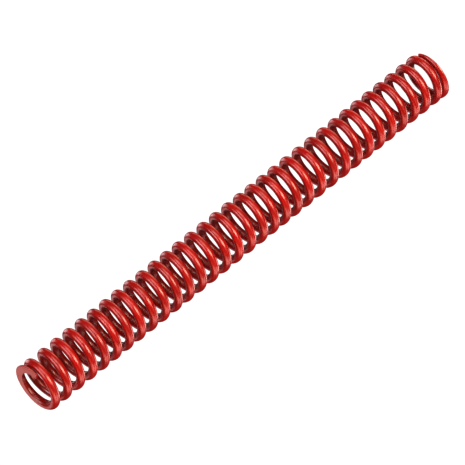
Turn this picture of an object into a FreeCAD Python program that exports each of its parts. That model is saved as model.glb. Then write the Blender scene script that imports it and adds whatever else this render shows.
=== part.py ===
# Closed and ground helical compression spring, wound left-handed from round wire.
#
# Frame: the axis of the coils is +Z. The origin is the centre of the lower ground
# face, and the cut tip of the lower end coil lies on +X from the axis.
# All sizes are millimetres. Turns are counted from the lower tip to the upper tip.
#
# The real spring is one continuous wire. Here the wire is kept as one node for
# each turn, so that the turns can close up on each other when the spring is
# pressed. Every cut between two nodes lies in a plane that holds the spring's
# axis, so a turn that slides along the axis never runs into its neighbour.

import FreeCAD, Part
import math
import os

from FreeCAD import Vector

os.makedirs("parts", exist_ok=True)

# ---------------------------------------------------------------- dimensions
wire_d = 5.0            # diameter of the round wire
coil_d = 25.4           # mean diameter of the coils, wire centre to wire centre
free_length = 310.5     # from ground face to ground face
total_turns = 34.135    # from wire tip to wire tip
hand = -1               # -1 is left-hand: the wire climbs clockwise seen from above

lower_tip = 1.1         # thickness left at the lower wire tip after grinding
lower_pitch = 5.39      # pitch of the closed turn at the lower end
lower_closed = 0.783    # turns wound at that pitch
lower_ramp = 0.587      # turns over which the pitch then opens

upper_tip = 1.65        # the same four at the upper end
upper_pitch = 5.43
upper_closed = 0.665
upper_ramp = 0.595

lower_cut = 1.5         # the lower end coil's node stops at this turn
active_nodes = 31       # nodes of one whole turn each between the two end coils

# Unevenness of the winding: how far the wire stands above its place on an even
# helix, at evenly spaced turns from the lower tip to the upper tip.
wander = [0.0, -0.16, 0.02, -0.08, -0.05, 0.16, 0.01, -0.31, -0.34, -0.15, 0.17, 0.8,
          1.38, 1.5, 1.2, 0.82, 0.51, 0.37, 0.7, 1.12, 1.34, 1.42, 1.25, 1.19, 1.3,
          1.18, 0.87, 0.54, 0.27, 0.03, -0.23, -0.54, -0.41, 0.21, 0.0]

points_per_turn = 24    # points that carry the wire's centre line

# ------------------------------------------------------------------- profile
wire_r = wire_d / 2.0
coil_r = coil_d / 2.0
z_first = lower_tip - wire_r                  # wire centre at the lower tip
z_last = free_length - upper_tip + wire_r     # wire centre at the upper tip
half = total_turns / 2.0
lower_open = half - lower_closed - lower_ramp / 2.0   # full-pitch turns, lower half
upper_open = half - upper_closed - upper_ramp / 2.0
active_pitch = (z_last - z_first - lower_pitch * (half - lower_open)
                - upper_pitch * (half - upper_open)) / (lower_open + upper_open)
lead_angle = math.atan(active_pitch / (math.pi * coil_d))


def smooth(x):
    x = min(max(x, 0.0), 1.0)
    return x * x * (3.0 - 2.0 * x)


def opened(u, closed, ramp):
    """Full-pitch turns gathered u turns in from a tip."""
    x = (u - closed) / ramp
    if x <= 0.0:
        return 0.0
    if x >= 1.0:
        return ramp * (x - 0.5)
    return ramp * (x ** 3 - x ** 4 / 2.0)


def unevenness(t):
    """A smooth curve through the wander table, faded out over the closed turns."""
    x = t / total_turns * (len(wander) - 1)
    i = int(math.floor(x))
    f = x - i

    def c(k):
        return wander[min(max(i + k, 0), len(wander) - 1)]

    curve = ((1 - f) ** 3 * c(-1) + (3 * f ** 3 - 6 * f * f + 4) * c(0)
             + (-3 * f ** 3 + 3 * f * f + 3 * f + 1) * c(1) + f ** 3 * c(2)) / 6.0
    return curve * smooth((t - 0.25) / 0.75) * smooth((total_turns - t - 0.25) / 0.75)


def wire_z(t):
    """Height of the wire's centre, t turns up from the lower tip."""
    if t <= half:
        even = z_first + lower_pitch * t + (active_pitch - lower_pitch) * opened(
            t, lower_closed, lower_ramp)
    else:
        u = total_turns - t
        even = z_last - upper_pitch * u - (active_pitch - upper_pitch) * opened(
            u, upper_closed, upper_ramp)
    return even + unevenness(t)


def wire_centre(t):
    a = hand * 2.0 * math.pi * t
    return Vector(coil_r * math.cos(a), coil_r * math.sin(a), wire_z(t))


def wire_direction(t):
    h = 1e-4
    return (wire_centre(t + h) - wire_centre(t - h)) * (1.0 / (2.0 * h))


# -------------------------------------------------------------------- solids
def length_of_wire(t0, t1):
    n = 400
    total = 0.0
    last = wire_centre(t0)
    for i in range(1, n + 1):
        p = wire_centre(t0 + (t1 - t0) * i / n)
        total += (p - last).Length
        last = p
    return total


def radial_section(t):
    """The wire's outline in the plane through the axis at turn t."""
    a = hand * 2.0 * math.pi * t
    up = Vector(0, 0, 1)
    around = Vector(-math.sin(a), math.cos(a), 0)
    across = around.cross(up)
    c = wire_centre(t)
    place = FreeCAD.Matrix(
        up.x, across.x, around.x, c.x,
        up.y, across.y, around.y, c.y,
        up.z, across.z, around.z, c.z,
        0, 0, 0, 1)
    # a round wire cut by a plane through the axis is a little taller than wide
    oval = Part.Ellipse()
    oval.MajorRadius = wire_r / math.cos(lead_angle)
    oval.MinorRadius = wire_r
    edge = oval.toShape()
    edge.Placement = FreeCAD.Placement(place)
    return Part.Wire([edge])


def coil(t0, t1):
    """The stretch of wire from turn t0 to turn t1, with both cut faces radial."""
    n = max(4, int(round((t1 - t0) * points_per_turn)))
    turns = [t0 + (t1 - t0) * i / n for i in range(n + 1)]
    spine = Part.BSplineCurve()
    spine.interpolate(Points=[wire_centre(t) for t in turns], Parameters=turns,
                      InitialTangent=wire_direction(t0), FinalTangent=wire_direction(t1),
                      Scale=False)
    shell = Part.BRepOffsetAPI.MakePipeShell(Part.Wire([spine.toShape()]))
    shell.setBiNormalMode(Vector(0, 0, 1))   # every section stays in its radial plane
    shell.add(radial_section(t0))
    shell.build()
    shell.makeSolid()
    solid = shell.shape()
    if solid.Volume < 0:
        solid.reverse()
    return solid


def write(name, solid, t0, t1):
    whole = math.pi * wire_r ** 2 * length_of_wire(t0, t1)
    print("%-16s valid %s solids %d volume %.2f, section times length %.2f" % (
        name, solid.isValid(), len(solid.Solids), solid.Volume, whole))
    if len(solid.Solids) != 1:
        raise RuntimeError(name + " is not one solid")
    solid.Solids[0].exportStep("parts/" + name + ".step")
    return solid.Volume


print("active pitch %.3f mm, lead angle %.2f deg" % (active_pitch, math.degrees(lead_angle)))
closest = min((wire_z(k / 40.0 + 1.0) - wire_z(k / 40.0), k / 40.0)
              for k in range(int((total_turns - 1) * 40)))
print("closest turns: %.2f mm apart at turn %.2f" % closest)

# lower end coil: the closed turn, ground flat at z = 0
below = Part.makeBox(80, 80, 20, Vector(-40, -40, -20))
volume = write("lower_end_coil", coil(0.0, lower_cut).cut(below), 0.0, lower_cut)

# the turns that do the work, counted up from the lower end
for i in range(active_nodes):
    t0 = lower_cut + i
    volume += write("active_coil_%02d" % (i + 1), coil(t0, t0 + 1.0), t0, t0 + 1.0)

# upper end coil, ground flat at the free length
t0 = lower_cut + active_nodes
above = Part.makeBox(80, 80, 20, Vector(-40, -40, free_length))
volume += write("upper_end_coil", coil(t0, total_turns).cut(above), t0, total_turns)
print("all nodes: %.0f mm3, %.3f kg in steel" % (volume, volume * 7.85e-6))
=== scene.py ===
import math

import bpy
import numpy as np
from mathutils import Matrix, Vector


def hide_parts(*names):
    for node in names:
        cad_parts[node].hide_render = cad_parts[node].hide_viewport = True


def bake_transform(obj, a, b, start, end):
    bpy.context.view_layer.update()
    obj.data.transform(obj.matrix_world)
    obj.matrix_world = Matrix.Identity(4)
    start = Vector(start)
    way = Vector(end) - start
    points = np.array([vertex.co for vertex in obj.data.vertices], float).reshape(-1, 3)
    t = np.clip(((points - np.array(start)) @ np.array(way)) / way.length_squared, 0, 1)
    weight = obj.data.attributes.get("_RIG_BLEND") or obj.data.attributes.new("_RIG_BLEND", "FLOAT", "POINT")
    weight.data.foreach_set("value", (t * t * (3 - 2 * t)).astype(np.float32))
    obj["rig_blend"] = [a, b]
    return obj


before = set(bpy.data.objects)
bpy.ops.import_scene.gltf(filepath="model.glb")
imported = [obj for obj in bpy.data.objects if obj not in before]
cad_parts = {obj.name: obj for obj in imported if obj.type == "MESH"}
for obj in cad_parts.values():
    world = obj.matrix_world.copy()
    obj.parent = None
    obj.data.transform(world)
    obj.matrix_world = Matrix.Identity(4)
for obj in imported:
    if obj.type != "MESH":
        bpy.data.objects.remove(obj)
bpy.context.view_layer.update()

# ------------------------------------------------------------------ dimensions
# The same numbers and formulas as the CAD model, in millimetres. Turns are counted
# from the lower tip of the wire to the upper tip.
WIRE_D = 5.0
COIL_D = 25.4
FREE_LENGTH = 310.5
TOTAL_TURNS = 34.135
HAND = -1
LOWER_TIP, LOWER_PITCH, LOWER_CLOSED, LOWER_RAMP = 1.1, 5.39, 0.783, 0.587
UPPER_TIP, UPPER_PITCH, UPPER_CLOSED, UPPER_RAMP = 1.65, 5.43, 0.665, 0.595
LOWER_CUT = 1.5
ACTIVE_NODES = 31
WANDER = np.array([0.0, -0.16, 0.02, -0.08, -0.05, 0.16, 0.01, -0.31, -0.34, -0.15, 0.17, 0.8,
                   1.38, 1.5, 1.2, 0.82, 0.51, 0.37, 0.7, 1.12, 1.34, 1.42, 1.25, 1.19, 1.3,
                   1.18, 0.87, 0.54, 0.27, 0.03, -0.23, -0.54, -0.41, 0.21, 0.0])

MM = 0.001
WIRE_R = WIRE_D / 2
COIL_R = COIL_D / 2
Z_FIRST = LOWER_TIP - WIRE_R
Z_LAST = FREE_LENGTH - UPPER_TIP + WIRE_R
HALF = TOTAL_TURNS / 2
LOWER_OPEN = HALF - LOWER_CLOSED - LOWER_RAMP / 2
UPPER_OPEN = HALF - UPPER_CLOSED - UPPER_RAMP / 2
ACTIVE_PITCH = (Z_LAST - Z_FIRST - LOWER_PITCH * (HALF - LOWER_OPEN)
                - UPPER_PITCH * (HALF - UPPER_OPEN)) / (LOWER_OPEN + UPPER_OPEN)
LEAD = math.atan(ACTIVE_PITCH / (math.pi * COIL_D))
OVAL = 1 / math.cos(LEAD)          # a round wire cut by a plane through the axis

# mesh density and the small roundings that grinding and paint leave
AROUND, ALONG = 40, 108            # vertices round the wire and rings in one turn
END_AROUND, END_ALONG = 96, 240    # the same on the two ground end coils
CORNER = 0.20                      # rounding along the rim of a ground face
TIP_ROUND = 0.28                   # rounding round the blunt tip of the wire
CORNER_SHARE = 4.0                 # how much closer vertices stand on the rounding


def smooth(x):
    x = np.clip(x, 0.0, 1.0)
    return x * x * (3 - 2 * x)


def opened(u, closed, ramp):
    x = (u - closed) / ramp
    inside = np.clip(x, 0, 1)
    return np.where(x <= 0, 0.0, np.where(x >= 1, ramp * (x - 0.5), ramp * (inside ** 3 - inside ** 4 / 2)))


def unevenness(t):
    x = t / TOTAL_TURNS * (len(WANDER) - 1)
    i = np.floor(x).astype(int)
    f = x - i

    def c(k):
        return WANDER[np.clip(i + k, 0, len(WANDER) - 1)]

    curve = ((1 - f) ** 3 * c(-1) + (3 * f ** 3 - 6 * f * f + 4) * c(0)
             + (-3 * f ** 3 + 3 * f * f + 3 * f + 1) * c(1) + f ** 3 * c(2)) / 6
    return curve * smooth((t - 0.25) / 0.75) * smooth((TOTAL_TURNS - t - 0.25) / 0.75)


def wire_z(t):
    t = np.asarray(t, float)
    low = Z_FIRST + LOWER_PITCH * t + (ACTIVE_PITCH - LOWER_PITCH) * opened(t, LOWER_CLOSED, LOWER_RAMP)
    u = TOTAL_TURNS - t
    high = Z_LAST - UPPER_PITCH * u - (ACTIVE_PITCH - UPPER_PITCH) * opened(u, UPPER_CLOSED, UPPER_RAMP)
    return np.where(t <= HALF, low, high) + unevenness(t)


_t = np.linspace(0, TOTAL_TURNS, 20001)
_z = wire_z(_t)
_step = np.hypot(2 * math.pi * COIL_R * np.diff(_t), np.diff(_z))
_run = np.concatenate([[0], np.cumsum(_step)])


def wire_run(t):
    """Length of wire from the lower tip to turn t."""
    return np.interp(t, _t, _run)


# How far up each turn goes as the upper end comes down: every gap between turns
# closes by the same share, and the closed end turns keep their shape.
_c = 5.39


def follow(t):
    w = (wire_z(t) - Z_FIRST - _c * t) / (Z_LAST - Z_FIRST - _c * TOTAL_TURNS)
    w = np.where(t < LOWER_CLOSED, 0.0, w)
    w = np.where(t > TOTAL_TURNS - UPPER_CLOSED, 1.0, w)
    return np.clip(w, 0, 1)


# -------------------------------------------------------------------- the wire
def half_outline(h, r, rho, n):
    """The right half of the wire's section, from its uncut side to the ground side.
    h is where the grinding plane lies. Arrays of one row for each ring."""
    h = np.maximum(h, -r)[:, None]
    r, rho = np.broadcast_to(r, h[:, 0].shape)[:, None], np.broadcast_to(rho, h[:, 0].shape)[:, None]
    k = h + rho
    xk = np.sqrt(np.maximum((r - rho) ** 2 - k ** 2, 0))
    pk = np.arctan2(k, np.maximum(xk, 1e-9))
    l1 = r * (math.pi / 2 - pk)
    l2 = rho * (pk + math.pi / 2) * CORNER_SHARE
    l3 = xk
    s = np.linspace(0, 1, n + 1)[None] * (l1 + l2 + l3)
    on1, on3 = s <= l1, s > l1 + l2
    a1 = math.pi / 2 - s / r
    a2 = pk - (s - l1) / (rho * CORNER_SHARE)
    x = np.where(on1, r * np.cos(a1), np.where(on3, np.maximum(xk - (s - l1 - l2), 0), xk + rho * np.cos(a2)))
    y = np.where(on1, r * np.sin(a1), np.where(on3, h, k + rho * np.sin(a2)))
    nx = np.where(on1, np.cos(a1), np.where(on3, 0, np.cos(a2)))
    ny = np.where(on1, np.sin(a1), np.where(on3, -1, np.sin(a2)))
    # 1 on the round wire, 0 on the ground face
    swept = np.where(on1, 1.0, np.where(on3, 0.0, 1 - (s - l1) / np.maximum(l2, 1e-9)))
    # distance from the middle of the corner, measured round the section
    corner = np.where(l3 + l2 > 1e-6, np.abs(s - (l1 + l2 / 2)), 9.0)
    corner = np.where(l2 < 1e-6, 9.0, corner)
    return x, y, nx, ny, swept, corner


def rings(turns, inset, tilt, around, side):
    """Points, normals and coordinates of the wire's rings. side is 0 for a coil away from
    the ends, 1 at the lower end and -1 at the upper end. tilt is the turn of the normal
    towards the blunt tip."""
    n = around // 2
    zc = wire_z(turns)
    zr = OVAL
    if side == 0:
        h = np.full_like(turns, -99.0)
    elif side > 0:
        h = (0.0 - zc) / zr + inset
    else:
        h = -(FREE_LENGTH - zc) / zr + inset
    r = WIRE_R - inset
    rho = np.maximum(CORNER - inset * 0.6, 0.04)
    flip = -1.0 if side < 0 else 1.0
    x, y, nx, ny, swept, corner = half_outline(h, r, rho, n)
    # the whole outline: down the outer side, then back up the inner side
    order = np.concatenate([np.arange(0, n + 1), np.arange(n - 1, 0, -1)])
    sign = np.concatenate([np.ones(n + 1), -np.ones(n - 1)])
    x, nx = x[:, order] * sign, nx[:, order] * sign
    y, ny = y[:, order] * flip, ny[:, order] * flip
    swept, corner = swept[:, order], corner[:, order]
    a = HAND * 2 * math.pi * turns
    er = np.stack([np.cos(a), np.sin(a), 0 * a], 1)[:, None]
    ea = np.stack([-np.sin(a), np.cos(a), 0 * a], 1)[:, None]
    ez = np.array([0, 0, 1.0])[None, None]
    rho_xy = COIL_R + x
    z = zc[:, None] + y * zr
    if side > 0:
        z = np.maximum(z, 0.0)
    if side < 0:
        z = np.minimum(z, FREE_LENGTH)
    co = er * rho_xy[..., None] + ez * z[..., None]
    # normal: across the section, and leaning with the climb of the wire
    e = 1e-4
    rise = (wire_z(turns + e) - wire_z(turns - e)) / (2 * e)
    nz = ny / zr
    lean = -nz * rise[:, None] / (rho_xy * HAND * 2 * math.pi) * swept
    no = er * nx[..., None] + ez * nz[..., None] + ea * lean[..., None]
    no /= np.linalg.norm(no, axis=2)[..., None]
    # at the blunt tip the normal turns to face along the wire
    back = -ea * HAND if side > 0 else ea * HAND
    no = no * np.cos(tilt)[:, None, None] + back * np.sin(tilt)[:, None, None]
    no /= np.linalg.norm(no, axis=2)[..., None]
    run = np.broadcast_to(wire_run(turns)[:, None], x.shape)
    wire = np.stack([run, x, y], 2)
    edge = np.clip(1 - corner / (0.9 * CORNER_SHARE * 0.25 + 0.5), 0, 1)
    edge = np.maximum(edge, (np.sin(tilt) ** 2)[:, None] * np.ones_like(edge))
    ground = 1 - swept
    return co, no, wire, edge, ground


def coil_mesh(name, t0, t1, side=0):
    """A closed mesh of the wire from turn t0 to turn t1."""
    around = END_AROUND if side else AROUND
    count = int(round((t1 - t0) * (END_ALONG if side else ALONG)))
    turns = np.linspace(t0, t1, count + 1)
    inset, tilt = np.zeros(count + 1), np.zeros(count + 1)
    per_turn = float(wire_run(1.0))
    if side:
        q = np.linspace(math.pi / 2, 0, 8)
        add = TIP_ROUND * (1 - np.sin(q)) / per_turn
        add_inset = TIP_ROUND * (1 - np.cos(q))
        if side > 0:
            keep = turns > t0 + TIP_ROUND / per_turn * 1.3
            turns = np.concatenate([t0 + add, turns[keep]])
            inset = np.concatenate([add_inset, inset[keep]])
            tilt = np.concatenate([q, tilt[keep]])
        else:
            keep = turns < t1 - TIP_ROUND / per_turn * 1.3
            turns = np.concatenate([turns[keep], (t1 - add)[::-1]])
            inset = np.concatenate([inset[keep], add_inset[::-1]])
            tilt = np.concatenate([tilt[keep], q[::-1]])
    co, no, wire, edge, ground = rings(turns, inset, tilt, around, side)
    k, m = co.shape[:2]
    i, j = np.meshgrid(np.arange(k - 1), np.arange(m), indexing="ij")
    j2 = (j + 1) % m
    tube = np.stack([i * m + j, i * m + j2, (i + 1) * m + j2, (i + 1) * m + j], 2).reshape(-1, 4)
    faces = [tuple(f) for f in tube.tolist()]
    n = m // 2
    caps = []
    for base, turn_over in ((0, True), ((k - 1) * m, False)):
        strip = [(0, 1, m - 1)] + [(v, v + 1, m - v - 1, m - v) for v in range(1, n - 1)] + [(n - 1, n, n + 1)]
        for f in strip:
            f = tuple(base + v for v in f)
            caps.append(f[::-1] if turn_over else f)
    flat = co.reshape(-1, 3)
    # faces look outwards
    q = tube[len(tube) // 2]
    normal = np.cross(flat[q[1]] - flat[q[0]], flat[q[3]] - flat[q[0]])
    if normal @ no.reshape(-1, 3)[q[0]] < 0:
        faces = [f[::-1] for f in faces]
        caps = [f[::-1] for f in caps]
    mesh = bpy.data.meshes.new(name)
    mesh.from_pydata((flat * MM).tolist(), [], faces + caps)
    mesh.polygons.foreach_set("use_smooth", np.ones(len(mesh.polygons), bool))
    for key, value in (("edge", edge), ("ground", ground)):
        mesh.attributes.new(key, "FLOAT", "POINT").data.foreach_set("value", value.reshape(-1).astype(np.float32))
    mesh.attributes.new("wire", "FLOAT_VECTOR", "POINT").data.foreach_set(
        "vector", (wire.reshape(-1, 3) * MM).reshape(-1).astype(np.float32))
    # normals of the exact surface, so that one turn runs into the next without a seam
    loops = np.empty(len(mesh.loops), np.int32)
    mesh.loops.foreach_get("vertex_index", loops)
    normals = no.reshape(-1, 3)[loops].copy()
    around_at = lambda t: np.array([-math.sin(HAND * 2 * math.pi * t), math.cos(HAND * 2 * math.pi * t), 0]) * HAND
    start = len(faces) * 4
    cap_loops = sum(len(f) for f in caps) // 2
    normals[start:start + cap_loops] = -around_at(turns[0])
    normals[start + cap_loops:] = around_at(turns[-1])
    mesh.normals_split_custom_set(normals.tolist())
    ring_follow = np.repeat(follow(turns), m).astype(np.float32)
    return mesh, ring_follow


# ---------------------------------------------------------------------- finish
def paint_material(name, ground_end):
    """Glossy red enamel sprayed on the wire and baked. A ground end coil has more: the flat face, paler partly from
    its thinner coat and partly from a painted sheen, its grinding lines, and the thin coat and chips on its rims."""
    mat = bpy.data.materials.new(name)
    mat.use_nodes = True
    nt = mat.node_tree
    nt.nodes.clear()
    N, L = nt.nodes.new, nt.links.new

    def math_node(op, a, b=None, c=None, clamp=False):
        n = N("ShaderNodeMath")
        n.operation = op
        n.use_clamp = clamp
        for i, v in enumerate((a, b, c)):
            if v is None:
                continue
            if isinstance(v, (int, float)):
                n.inputs[i].default_value = v
            else:
                L(v, n.inputs[i])
        return n.outputs[0]

    def noise(vector, scale, detail=2.0, rough=0.5, dim="3D"):
        n = N("ShaderNodeTexNoise")
        n.noise_dimensions = dim
        n.inputs["Scale"].default_value = scale
        n.inputs["Detail"].default_value = detail
        n.inputs["Roughness"].default_value = rough
        L(vector, n.inputs["Vector"])
        return n.outputs["Fac"]

    def band(v, lo, hi, a=0.0, b=1.0):
        n = N("ShaderNodeMapRange")
        n.interpolation_type = "SMOOTHSTEP"
        L(v, n.inputs["Value"])
        for key, x in (("From Min", lo), ("From Max", hi), ("To Min", a), ("To Max", b)):
            n.inputs[key].default_value = x
        return n.outputs["Result"]

    def mix(f, a, b):
        n = N("ShaderNodeMix")
        n.data_type = "RGBA"
        n.blend_type = "MIX"
        n.clamp_factor = True
        if isinstance(f, (int, float)):
            n.inputs[0].default_value = f
        else:
            L(f, n.inputs[0])
        for sock, v in ((n.inputs[6], a), (n.inputs[7], b)):
            if isinstance(v, tuple):
                sock.default_value = (*v, 1.0)
            else:
                L(v, sock)
        return n.outputs[2]

    def mix_value(f, a, b):
        return math_node("MULTIPLY_ADD", f, math_node("SUBTRACT", b, a), a)

    at = N("ShaderNodeAttribute")
    at.attribute_name = "wire"
    wire = at.outputs["Vector"]
    at_edge = N("ShaderNodeAttribute")
    at_edge.attribute_name = "edge"
    edge = at_edge.outputs["Fac"]
    at_ground = N("ShaderNodeAttribute")
    at_ground.attribute_name = "ground"
    ground = at_ground.outputs["Fac"]

    def scaled(vec, sx, sy, sz):
        n = N("ShaderNodeMapping")
        n.inputs["Scale"].default_value = (sx, sy, sz)
        L(vec, n.inputs["Vector"])
        return n.outputs["Vector"]

    # colour: enamel thicker in soft patches, and drawn out a little along the wire
    patches = noise(scaled(wire, 0.35, 1, 1), 180, 3, 0.55)
    fine = noise(wire, 900, 2, 0.6)
    base = mix(band(patches, 0.35, 0.68), PAINT_DARK, PAINT_LIGHT)
    base = mix(math_node("MULTIPLY", band(fine, 0.45, 0.8), 0.18), base, PAINT_WARM)

    # painted shade: the coat colour turns darker on the inner side of the coils, standing in for the shade inside
    # the coil
    side = N("ShaderNodeSeparateXYZ")
    L(wire, side.inputs[0])
    inner_shade = band(side.outputs[1], -0.8 * WIRE_R * MM, -0.05 * WIRE_R * MM, 1.0, 0.0)
    base = mix(math_node("MULTIPLY", inner_shade, 0.55), base, PAINT_INNER_SHADE)

    # nibs of dust caught in the coat
    vor = N("ShaderNodeTexVoronoi")
    vor.feature = "F1"
    vor.inputs["Scale"].default_value = 420
    vor.inputs["Randomness"].default_value = 1.0
    L(wire, vor.inputs["Vector"])
    cell = vor.outputs["Color"]
    sep = N("ShaderNodeSeparateColor")
    L(cell, sep.inputs[0])
    rare = band(sep.outputs[0], 0.90, 0.93)
    nib = math_node("MULTIPLY", band(vor.outputs["Distance"], 0.05, 0.17, 1.0, 0.0), rare)

    # thin coat and small chips on the sharp rims of the ground ends
    rough_edge = noise(wire, 1500, 4, 0.65)
    chips = math_node("MULTIPLY", band(edge, 0.55, 0.95), band(rough_edge, 0.56, 0.66))
    if ground_end:
        thin = math_node("MULTIPLY", band(edge, 0.25, 1.0), 0.55)
        base = mix(thin, base, PAINT_THIN)
        # the flat ground face is paler: partly its thinner coat, partly painted sheen standing in for the light the
        # flat reflects
        base = mix(math_node("MULTIPLY", ground, 0.6), base, PAINT_FACE_AND_SHEEN)
    base = mix(math_node("MULTIPLY", nib, 0.45), base, PAINT_NIB)
    if ground_end:
        base = mix(chips, base, STEEL)

    # gloss
    cloud = noise(scaled(wire, 0.5, 1, 1), 260, 2, 0.5)
    rub = noise(scaled(wire, 0.12, 1, 1), 1400, 3, 0.6)
    rough = math_node("ADD", band(cloud, 0.3, 0.7, GLOSS - 0.03, GLOSS + 0.03),
                      math_node("MULTIPLY", band(rub, 0.55, 0.8), 0.015))
    if ground_end:
        rough = mix_value(ground, rough, math_node("ADD", rough, 0.12))
        rough = mix_value(chips, rough, 0.45)

    # surface: orange peel, nibs, drawing lines of the wire, grinding lines on the ends
    peel = noise(wire, 420, 2, 0.45)
    drawn = noise(scaled(wire, 0.03, 1, 1), 2600, 2, 0.5)
    tc = N("ShaderNodeTexCoord")
    grind = noise(scaled(tc.outputs["Object"], 0.05, 1.0, 0.2), 3800, 3, 0.6)
    height = math_node("ADD", math_node("MULTIPLY", peel, PEEL),
                       math_node("MULTIPLY", drawn, 0.00000006))
    height = math_node("ADD", height, math_node("MULTIPLY", nib, 0.000022))
    if ground_end:
        height = math_node("ADD", height, math_node("MULTIPLY", math_node("MULTIPLY", grind, ground), 0.000012))
        height = math_node("SUBTRACT", height, math_node("MULTIPLY", chips, 0.00004))
    bump = N("ShaderNodeBump")
    bump.inputs["Strength"].default_value = 1.0
    bump.inputs["Distance"].default_value = 1.0
    L(height, bump.inputs["Height"])

    p = N("ShaderNodeBsdfPrincipled")
    L(base, p.inputs["Base Color"])
    L(rough, p.inputs["Roughness"])
    L(bump.outputs["Normal"], p.inputs["Normal"])
    if ground_end:
        L(math_node("MULTIPLY", chips, 0.85), p.inputs["Metallic"])
    p.inputs["IOR"].default_value = 1.5
    p.inputs["Specular IOR Level"].default_value = SPECULAR
    out = N("ShaderNodeOutputMaterial")
    L(p.outputs[0], out.inputs["Surface"])
    return mat


PAINT_DARK = (0.33, 0.0034, 0.0016)
PAINT_LIGHT = (0.41, 0.0052, 0.0022)
PAINT_WARM = (0.44, 0.012, 0.004)
PAINT_THIN = (0.26, 0.018, 0.010)
# paler colour of the ground face: thinner coat and painted sheen
PAINT_FACE_AND_SHEEN = (0.48, 0.085, 0.065)
PAINT_NIB = (0.20, 0.003, 0.0015)
# painted shade for the inner side of the coils
PAINT_INNER_SHADE = (0.19, 0.003, 0.0016)
STEEL = (0.20, 0.18, 0.165)
GLOSS = 0.30
SPECULAR = 1.0
PEEL = 0.0000022

end_paint = paint_material("red_spring_enamel_ends", True)
coil_paint = paint_material("red_spring_enamel", False)

pieces = [("lower_end_coil", 0.0, LOWER_CUT, 1)]
for i in range(ACTIVE_NODES):
    pieces.append(("active_coil_%02d" % (i + 1), LOWER_CUT + i, LOWER_CUT + i + 1, 0))
pieces.append(("upper_end_coil", LOWER_CUT + ACTIVE_NODES, TOTAL_TURNS, -1))

for node, t0, t1, side in pieces:
    mesh, weight = coil_mesh(node + "_painted", t0, t1, side)
    obj = bpy.data.objects.new(node + "_painted", mesh)
    bpy.context.scene.collection.objects.link(obj)
    mesh.materials.append(end_paint if side else coil_paint)
    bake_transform(obj, "lower_end_coil", "upper_end_coil", (0, 0, 0), (0, 0, FREE_LENGTH * MM))
    mesh.attributes["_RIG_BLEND"].data.foreach_set("value", weight)
    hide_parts(node)

# ------------------------------------------------------------------ stage, lights
RIGHT = Vector((-0.4637229, -0.5314218, -0.708909))
UP = Vector((0.8250457, 0.0325933, -0.5641252))
BACK = Vector((0.3228941, -0.8464801, 0.423333))
CAMERA = Vector((0.61416, -1.610997, 0.966422))
CENTRE = Vector((0, 0, FREE_LENGTH * MM / 2))


def emission_material(name, colour, strength):
    mat = bpy.data.materials.new(name)
    mat.use_nodes = True
    nt = mat.node_tree
    nt.nodes.clear()
    e = nt.nodes.new("ShaderNodeEmission")
    e.inputs["Color"].default_value = (*colour, 1)
    e.inputs["Strength"].default_value = strength
    o = nt.nodes.new("ShaderNodeOutputMaterial")
    nt.links.new(e.outputs[0], o.inputs["Surface"])
    return mat


floor_mesh = bpy.data.meshes.new("floor")
s = 12.0
floor_mesh.from_pydata([(-s, -s, 0), (s, -s, 0), (s, s, 0), (-s, s, 0)], [], [(0, 1, 2, 3)])
floor = bpy.data.objects.new("floor", floor_mesh)
bpy.context.scene.collection.objects.link(floor)
floor_mat = bpy.data.materials.new("floor_white")
floor_mat.use_nodes = True
nt = floor_mat.node_tree
b = nt.nodes["Principled BSDF"] if "Principled BSDF" in nt.nodes else nt.nodes.new("ShaderNodeBsdfPrincipled")
b.inputs["Base Color"].default_value = (0.03, 0.03, 0.03, 1)
b.inputs["Roughness"].default_value = 0.9
b.inputs["Emission Color"].default_value = (1, 1, 1, 1)
b.inputs["Emission Strength"].default_value = 1.0
floor_mesh.materials.append(floor_mat)

# a white dome round the stage, so that low views see the same white above the floor
dome_steps, dome_r = 48, 5.5
dome_v, dome_f = [], []
for i in range(dome_steps // 4 + 1):
    e = math.radians(-3 + 93 * i / (dome_steps // 4))
    for j in range(dome_steps):
        a = 2 * math.pi * j / dome_steps
        dome_v.append((dome_r * math.cos(e) * math.cos(a), dome_r * math.cos(e) * math.sin(a),
                       dome_r * math.sin(e)))
for i in range(dome_steps // 4):
    for j in range(dome_steps):
        j2 = (j + 1) % dome_steps
        dome_f.append((i * dome_steps + j, (i + 1) * dome_steps + j, (i + 1) * dome_steps + j2, i * dome_steps + j2))
dome_mesh = bpy.data.meshes.new("backdrop")
dome_mesh.from_pydata(dome_v, [], dome_f)
dome = bpy.data.objects.new("backdrop", dome_mesh)
bpy.context.scene.collection.objects.link(dome)
dome_mesh.materials.append(emission_material("backdrop_white", (1, 1, 1), 1.0))


LIGHT_AT = 3.0                     # distance of every soft light from the spring


def softbox(name, a, b, width, radiance, colour):
    """A soft light that spans from direction a to direction b, width degrees across.
    Directions are x right, y down and z forward as the camera stands."""
    a = (RIGHT * a[0] - UP * a[1] - BACK * a[2]).normalized()
    b = (RIGHT * b[0] - UP * b[1] - BACK * b[2]).normalized()
    middle = (a + b).normalized()
    long_side = (b - a - middle * middle.dot(b - a)).normalized()
    light = bpy.data.lights.new(name, "AREA")
    light.shape = "ELLIPSE"
    light.size = 2 * LIGHT_AT * math.tan(a.angle(b) / 2)
    light.size_y = 2 * LIGHT_AT * math.tan(math.radians(width) / 2)
    light.energy = radiance * math.pi * math.pi * light.size * light.size_y / 4
    light.color = colour
    obj = bpy.data.objects.new(name, light)
    axes = Matrix((long_side, middle.cross(long_side), middle)).transposed()
    obj.matrix_world = Matrix.Translation(CENTRE + middle * LIGHT_AT) @ axes.to_4x4()
    bpy.context.scene.collection.objects.link(obj)
    obj.visible_camera = False
    return obj


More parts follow.
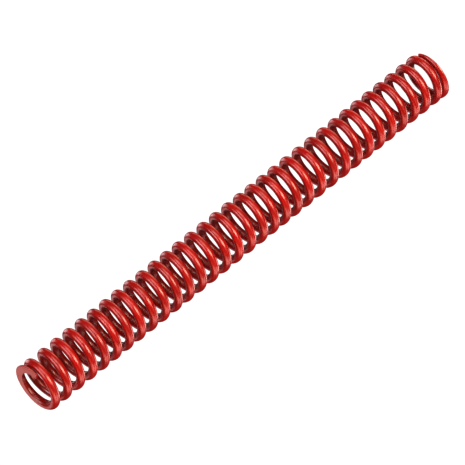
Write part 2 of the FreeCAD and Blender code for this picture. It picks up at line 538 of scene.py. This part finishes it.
SOFTBOXES = [
    ("key", (0.26, -0.14, -0.95), (0.46, -0.11, -0.88), 16, 6.00, (1, 0.8, 0.55)),
    ("key_halo", (0.05, -0.25, -0.97), (0.75, -0.14, -0.65), 36, 8.29, (1, 0.918, 0.717)),
    ("band_a", (-0.52, -0.74, -0.43), (-0.05, -0.48, -0.87), 30, 4.20, (1, 1.000, 0.865)),
    ("band_b", (0.0, -0.83, -0.56), (0.38, -0.56, -0.74), 28, 1.20, (1, 0.98, 0.82)),
    ("left", (-0.99, -0.15, -0.1), (-0.52, 0.15, -0.84), 26, 5.20, (0.98, 0.98, 1)),
    ("right_a", (0.66, 0.05, -0.75), (0.80, 0.50, -0.35), 28, 1.49, (1, 0.571, 0.357)),
    ("right_b", (0.78, 0.6, -0.2), (0.52, 0.78, 0.34), 34, 3.20, (1, 0.960, 0.920)),
    ("bottom", (-0.25, 0.93, -0.28), (0.42, 0.90, -0.1), 34, 4.63, (1, 0.655, 0.547)),
    ("bottom_left", (-0.62, 0.70, -0.36), (-0.25, 0.88, -0.4), 26, 2.82, (1, 0.598, 0.374)),
    ("behind_right", (0.97, -0.05, 0.24), (0.60, 0.15, 0.79), 34, 4.40, (1, 0.978, 0.859)),
    ("behind_left", (-0.82, -0.22, 0.53), (-0.42, -0.25, 0.87), 30, 2.60, (0.98, 0.98, 1)),
    ("behind_up", (0.1, -0.80, 0.6), (0.45, -0.86, 0.2), 34, 2.70, (1, 0.993, 0.776)),
    ("behind_mid", (-0.3, -0.8, 0.5), (0.0, -0.72, 0.69), 28, 1.70, (1, 1.000, 0.817)),
    ("end_sheen", (-0.78, 0.30, 0.55), (-0.38, 0.60, 0.70), 40, 1.30, (1, 0.9, 0.9)),
]
for spec in SOFTBOXES:
    softbox(*spec)

# the floor and the dome are seen by the camera only: the spring is lit by the lights alone
for flag in ("visible_diffuse", "visible_glossy", "visible_transmission", "visible_shadow"):
    setattr(floor, flag, False)
    setattr(dome, flag, False)

world = bpy.data.worlds.new("studio")
bpy.context.scene.world = world
world.use_nodes = True
world.node_tree.nodes["Background"].inputs["Color"].default_value = (1.0, 0.99, 0.95, 1)
world.node_tree.nodes["Background"].inputs["Strength"].default_value = 0.12

# ------------------------------------------------------------------------ camera
cam = bpy.data.cameras.new("camera")
cam.lens = 264.5376
cam.sensor_width = 36.0
cam.sensor_fit = "HORIZONTAL"
cam.clip_start, cam.clip_end = 0.05, 50
cam_obj = bpy.data.objects.new("camera", cam)
rot = Matrix((RIGHT, UP, BACK)).transposed()
cam_obj.matrix_world = Matrix.Translation(CAMERA) @ rot.to_4x4()
bpy.context.scene.collection.objects.link(cam_obj)
bpy.context.scene.camera = cam_obj

view = bpy.context.scene.view_settings
view.view_transform = "Standard"
view.look = "None"
view.exposure = 0.0
view.gamma = 0.72
